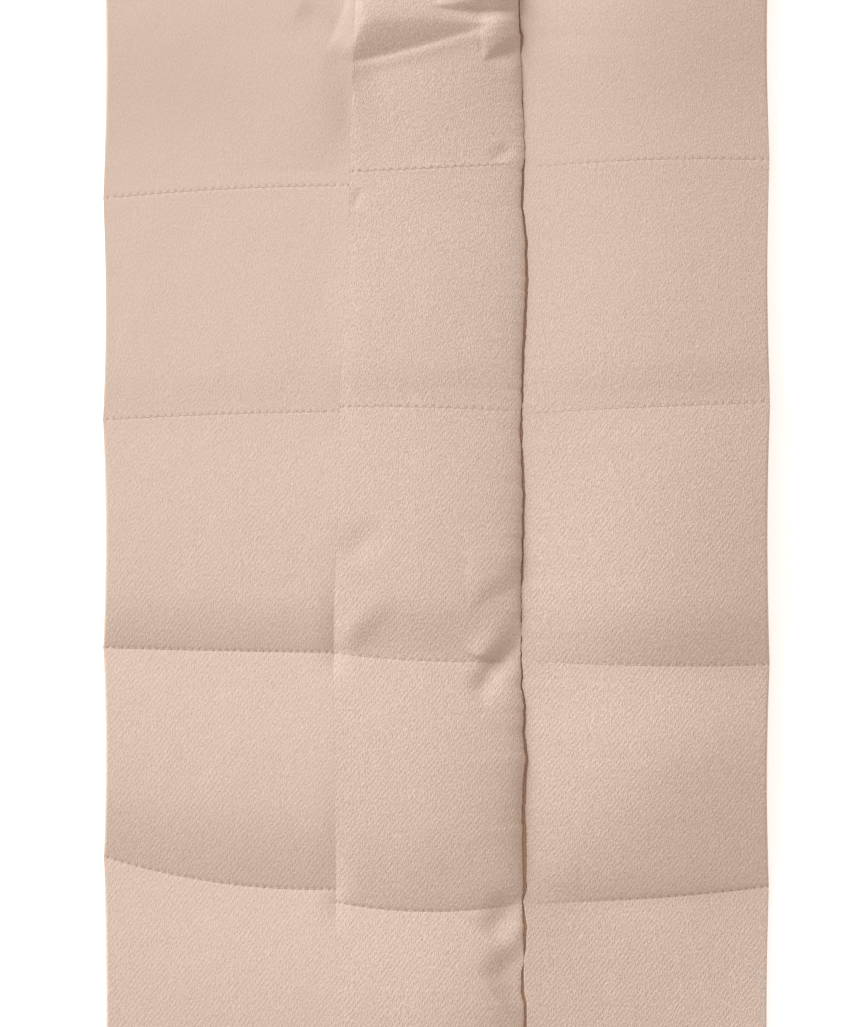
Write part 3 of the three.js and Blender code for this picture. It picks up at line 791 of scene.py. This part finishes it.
def brushed_twill(name, nap_growth):
    """Brushed wool twill: a granular nap of short fibres over faint slanting lines, in uneven beige, with
    shade painted on in dark brown where the lap lies down in the slit.
    """
    material = bpy.data.materials.new(name)
    material.use_nodes = True
    tree = material.node_tree
    link = tree.links.new
    shader = tree.nodes["Principled BSDF"]
    place = add_node(tree, "ShaderNodeTexCoord").outputs["Object"]
    twill_scale = math.tau / (WAVE_RATE * TWILL_PITCH * MM)
    lines = add_node(tree, "ShaderNodeTexWave", Scale=twill_scale, Distortion=TWILL_WOBBLE)
    link(turned(tree, place, TWILL_ANGLE), lines.inputs["Vector"])
    nap = fine_noise(tree, turned(tree, place, NAP_ANGLE), NAP_WIDTH, NAP_LENGTH)
    grain = fine_noise(tree, place, GRAIN_ACROSS, GRAIN_ACROSS)
    worn = growth(tree, place, **nap_growth)
    twilled = growth(tree, place, **TWILL_GROWTH)
    weave = mixed(tree, twilled, mixed(tree, GRAIN_SHARE, nap, grain), lines.outputs["Fac"])
    bump = add_node(tree, "ShaderNodeBump", Distance=RELIEF * MM)
    link(worn, bump.inputs["Strength"])
    link(weave, bump.inputs["Height"])
    link(bump.outputs["Normal"], shader.inputs["Normal"])
    # Painted shade: where the lap lies down in the slit, the tone is set to the dark brown of its shadow
    painted_slit_shade = add_node(tree, "ShaderNodeAttribute", attribute_name=LAP_PAINTED_SHADE_MARK).outputs["Fac"]
    fibres = mixed(tree, TONE_NAP_SHARE, grain, nap)
    tone = mixed(tree, painted_slit_shade, mixed(tree, worn, TONE_MIDDLE, fibres), LAP_PAINTED_SHADE_TONE)
    colour = add_node(tree, "ShaderNodeValToRGB")
    stops = colour.color_ramp.elements
    stops.new(sum(TONE_RANGE) / 2)
    for stop, position, shade in zip(stops, (LAP_PAINTED_SHADE_TONE, *TONE_RANGE), (LAP_PAINTED_SHADE, CLOTH_DARK, CLOTH_LIGHT)):
        stop.position = position
        stop.color = shade
    link(tone, colour.inputs["Fac"])
    link(colour.outputs["Color"], shader.inputs["Base Color"])
    for key, value in CLOTH_FINISH.items():
        shader.inputs[key].default_value = value
    return material


def pale_floor():
    """A white surface under the cloth."""
    material = bpy.data.materials.new("pale_floor")
    material.use_nodes = True
    shader = material.node_tree.nodes["Principled BSDF"]
    shader.inputs["Base Color"].default_value = FLOOR_COLOUR
    shader.inputs["Roughness"].default_value = FLOOR_ROUGHNESS
    shader.inputs["Emission Color"].default_value = FLOOR_GLOW_COLOUR
    shader.inputs["Emission Strength"].default_value = FLOOR_GLOW
    side = FLOOR_SIDE
    corners = [(-side, -side, 0), (side, -side, 0), (side, side, 0), (-side, side, 0)]
    floor = mesh_object("floor", corners, [(0, 1, 2, 3)], material)


def soft_light():
    """A broad low light from the upper left, and an even surround."""
    scene = bpy.context.scene
    world = bpy.data.worlds.new("surround")
    world.use_nodes = True
    world.node_tree.nodes["Background"].inputs["Color"].default_value = SURROUND_COLOUR
    world.node_tree.nodes["Background"].inputs["Strength"].default_value = SURROUND_STRENGTH
    scene.world = world
    sun = bpy.data.lights.new("window", "SUN")
    sun.energy = WINDOW_STRENGTH
    sun.color = WINDOW_COLOUR
    sun.angle = WINDOW_ANGLE
    lamp = bpy.data.objects.new("window", sun)
    lamp.rotation_mode = "QUATERNION"
    lamp.rotation_quaternion = Vector(TO_LIGHT).to_track_quat("Z", "Y")
    scene.collection.objects.link(lamp)
    scene.view_settings.view_transform = "Standard"


def camera_above():
    """Looks straight down on the face, framed as in the photograph."""
    data = bpy.data.cameras.new("camera")
    data.sensor_width = SENSOR
    data.lens = SENSOR * CAMERA_DISTANCE / (PHOTO_HEIGHT * MM_PER_PIXEL)
    camera = bpy.data.objects.new("camera", data)
    x = (PHOTO_WIDTH / 2 - PIXEL_OF_ORIGIN[0]) * MM_PER_PIXEL
    y = (PIXEL_OF_ORIGIN[1] - PHOTO_HEIGHT / 2) * MM_PER_PIXEL
    camera.location = Vector((x, y, CAMERA_DISTANCE + FACE_HEIGHT)) * MM
    bpy.context.scene.collection.objects.link(camera)
    bpy.context.scene.camera = camera


# The three panels. lap is how many columns of a panel lie under the placket.
PANELS = [
    {"name": "left", "node": "left_panel", "make": left_panel, "rows": LEFT_ROWS, "lap": 0},
    {"name": "placket", "node": "placket", "make": placket, "rows": PLACKET_ROWS, "lap": 0},
    {"name": "right", "node": "right_panel", "make": right_panel, "rows": RIGHT_ROWS, "lap": LAP_COLUMNS},
]

rows_of = [Rows(panel["rows"]) for panel in PANELS]
shapes = [panel["make"](rows) for panel, rows in zip(PANELS, rows_of)]
join_at_seam(shapes[0], shapes[1])

for panel, rows, shape in zip(PANELS, rows_of, shapes):
    name, slot = panel["name"], panel["node"] + "_twill"
    twill = brushed_twill(name + "_twill", NAP_GROWTH[name])
    cloth = panel_object(name + "_cloth", shape, twill)
    # Marks the lap in the slit for its painted dark brown shade
    paint_shade_on_lap(cloth, shape, panel["lap"])
    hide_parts(panel["node"])
    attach(cloth, "root")
    sewing = stitches_object(name + "_stitches", shape, rows, panel["lap"], twill)
    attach(sewing, "root")

pale_floor()
soft_light()
camera_above()
